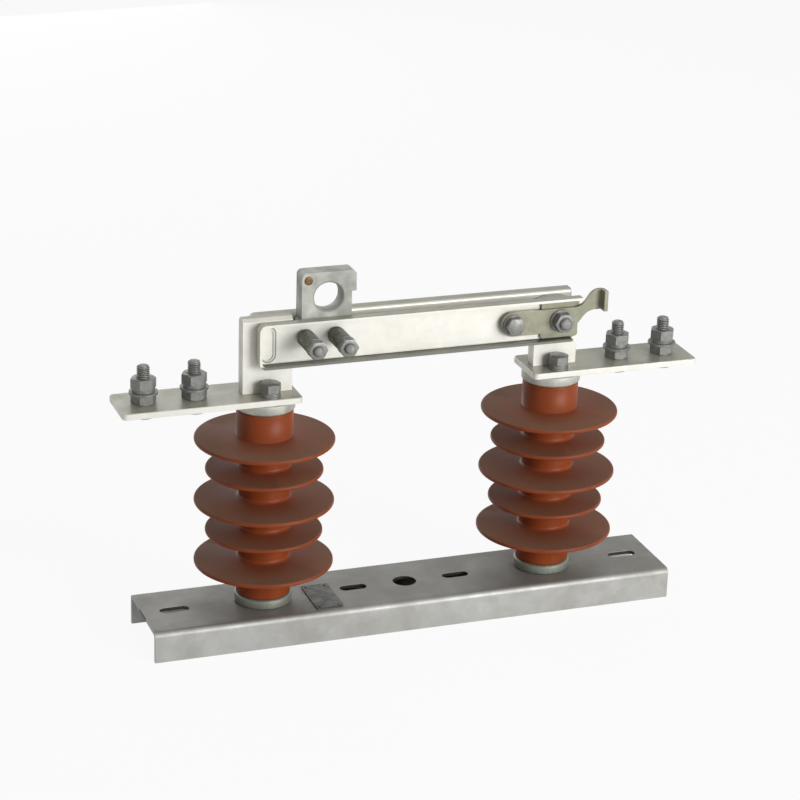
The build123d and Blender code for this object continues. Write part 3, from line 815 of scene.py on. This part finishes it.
TO_FRONT = Matrix.Rotation(math.radians(90), 3, "X")  # +Z turned to -Y
spring_low, spring_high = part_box("contact_springs")
bolt_z = (spring_low.z + spring_high.z) / 2
spring_radius = (spring_high.z - spring_low.z) / 2
stud_x = (spring_low.x + spring_radius, spring_high.x - spring_radius)
wire_room = spring_high.y - spring_low.y - 2 * WIRE_RADIUS
springs = wind(
    "contact_coils",
    coil,
    [(x, spring_high.y - WIRE_RADIUS, bolt_z) for x in stud_x],
    TO_FRONT,
    {
        "Coil Radius": spring_radius - WIRE_RADIUS,
        "Wire Radius": WIRE_RADIUS,
        "Turns": COIL_TURNS,
        "Rise": wire_room,
    },
    spring_wire,
)
settle(springs, "blade", spring_wire, ["contact_springs"])
stud_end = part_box("contact_spring_bolts")[0].y
threaded_bolts(
    "contact_spring_bolts",
    "blade",
    (0, -1, 0),
    [(x, 0, bolt_z) for x in stud_x],
    M10_RADIUS,
    M10_PITCH,
    M10_THREAD_FROM,
    -stud_end - THREAD_END_GAP,
)
for node in ("contact_spring_nuts", "contact_spring_washers"):
    dress(f"{node}_dressed", "blade", bolt_steel, [node], 0.25)

# Stop lever and pressure plates. Cut and bent from steel plate, zinc plated and
# passivated, they ride on the hinge bolt beside the strips.
# Zinc plate, passivated and faded: pale olive grey with clouds about 12 mm wide and
# a fine rolled grain.
faded_zinc, tree, surface, place = new_finish("faded_zinc_plate", 0.6, 0.42)
faded = add(
    tree,
    "ShaderNodeTexNoise",
    {"Scale": per_metre(12), "Detail": 5.0, "Roughness": 0.6},
    {"Vector": place},
)
olive_zinc = two_tones(tree, faded.outputs["Fac"], 0.35, 0.65, ("848371", "979684"))
tree.links.new(olive_zinc, surface.inputs["Base Color"])
roughness_between(tree, surface, faded.outputs["Fac"], 0.35, 0.65, 0.5, 0.34)
plate_grain = add(
    tree,
    "ShaderNodeTexNoise",
    {"Scale": per_metre(1.0), "Detail": 2.0},
    {"Vector": place},
)
relief(tree, surface, plate_grain.outputs["Fac"], 0.03, 0.4)
PLATES = ("stop_lever", "front_pressure_plate", "back_pressure_plate", "lever_spacer", "blade_spacer")
for node in PLATES:
    dress(f"{node}_dressed", "blade", faded_zinc, [node], 0.3)

# Hinge bolt and lever bolt. An M12 bolt is the hinge's pin, with thin tin-plated
# rings beside the posts, and an M10 bolt holds the lever's other end.
M12_RADIUS, M12_PITCH = 0.006, 0.00175
hinge = frame["joints"][0]["pos_m"]
hinge_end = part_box("hinge_bolt")[0].y
hinge_nut_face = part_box("hinge_nut")[0].y
threaded_bolts(
    "hinge_bolt",
    "blade",
    (0, -1, 0),
    [(hinge[0], 0, hinge[2])],
    M12_RADIUS,
    M12_PITCH,
    -hinge_nut_face - M12_PITCH,
    -hinge_end - THREAD_END_GAP,
)
dress("hinge_rings_dressed", "blade", tinned, ["hinge_rings"], 0)
for node in ("hinge_nut", "hinge_washer", "lever_bolt", "lever_nut", "lever_washer"):
    dress(f"{node}_dressed", "blade", bolt_steel, [node], 0.25)

# Floor, backdrop and light. A white floor that keeps the shadow, white all round for
# the camera and for gloss, one large soft light in front and weaker ones elsewhere.
FLOOR_HALF = 30.0
floor_mesh = bpy.data.meshes.new("floor")
floor_mesh.from_pydata(
    [(x * FLOOR_HALF, y * FLOOR_HALF, 0) for x, y in ((-1, -1), (1, -1), (1, 1), (-1, 1))],
    [],
    [(0, 1, 2, 3)],
)
floor = bpy.data.objects.new("floor", floor_mesh)
bpy.context.scene.collection.objects.link(floor)


def seen_directly(tree):
    """1 for a ray from the camera, off gloss or through glass, and 0 for the others."""
    ray = add(tree, "ShaderNodeLightPath").outputs
    camera_or_gloss = worked_out(tree, ray["Is Camera Ray"], ray["Is Glossy Ray"], "MAXIMUM")
    return worked_out(tree, camera_or_gloss, ray["Is Transmission Ray"], "MAXIMUM")


PAPER_GLOW_SHARE = 0.93  # the rest is matt, and keeps the shadow
paper = bpy.data.materials.new("white_paper_floor")
paper.use_nodes = True
tree = paper.node_tree
tree.nodes.clear()
share_white = worked_out(tree, seen_directly(tree), PAPER_GLOW_SHARE)
matt = add(tree, "ShaderNodeBsdfDiffuse", {"Color": linear("e6e6e4")})
glow = add(tree, "ShaderNodeEmission", {"Color": linear("ffffff"), "Strength": 1.0})
paper_mix = add(
    tree,
    "ShaderNodeMixShader",
    links={0: share_white, 1: matt.outputs[0], 2: glow.outputs[0]},
)
add(tree, "ShaderNodeOutputMaterial", links={"Surface": paper_mix.outputs[0]})
floor.data.materials.append(paper)

# A grey sheet of painted shade lies on the floor inside the channel, where the channel
# keeps the light off, but not at the ends, where light comes in from the sides.
SHADE_INSET, LIT_END, SHADE_LIFT = 0.005, 0.07, 0.0001
shade_mesh = bpy.data.meshes.new("painted_shade_under_channel")
channel_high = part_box("base_channel")[1]
shade_x, shade_y = channel_high.x - LIT_END, channel_high.y - SHADE_INSET
shade_mesh.from_pydata(
    [(x * shade_x, y * shade_y, SHADE_LIFT) for x, y in ((-1, -1), (1, -1), (1, 1), (-1, 1))],
    [],
    [(0, 1, 2, 3)],
)
shade = bpy.data.objects.new("painted_shade_under_channel", shade_mesh)
bpy.context.scene.collection.objects.link(shade)
painted_shade_sheet = bpy.data.materials.new("painted_shade_paper")
painted_shade_sheet.use_nodes = True
painted_shade_sheet.node_tree.nodes.clear()
grey = add(painted_shade_sheet.node_tree, "ShaderNodeBsdfDiffuse", {"Color": linear("b4b4b2")})
add(painted_shade_sheet.node_tree, "ShaderNodeOutputMaterial", links={"Surface": grey.outputs[0]})
shade.data.materials.append(painted_shade_sheet)

LIGHT_ALL_ROUND = 0.22  # the world's strength on the object, weak beside the lamps
world = bpy.data.worlds.new("white_studio")
bpy.context.scene.world = world
world.use_nodes = True
tree = world.node_tree
tree.nodes.clear()
level = add(
    tree,
    "ShaderNodeMapRange",
    {"To Min": LIGHT_ALL_ROUND, "To Max": 1.0},
    {"Value": seen_directly(tree)},
)
sky = add(
    tree,
    "ShaderNodeBackground",
    {"Color": linear("ffffff")},
    {"Strength": level.outputs[0]},
)
add(tree, "ShaderNodeOutputWorld", links={"Surface": sky.outputs[0]})

LAMP_AIM_HEIGHT = 0.2


def soft_light(name, place, size, watts):
    """Square soft box that looks at the middle of the switch."""
    lamp = bpy.data.lights.new(name, "AREA")
    lamp.size = size
    lamp.energy = watts
    box = bpy.data.objects.new(name, lamp)
    bpy.context.scene.collection.objects.link(box)
    box.location = place
    aim = Vector((0, 0, LAMP_AIM_HEIGHT)) - Vector(place)
    box.rotation_euler = aim.to_track_quat("-Z", "Y").to_euler()


soft_light("front_soft_box", (1.3, -2.5, 0.9), 1.4, 72)
soft_light("top_soft_box", (0.3, 0.2, 2.4), 1.6, 4)
soft_light("back_soft_box", (-0.2, 2.6, 0.7), 1.6, 14)
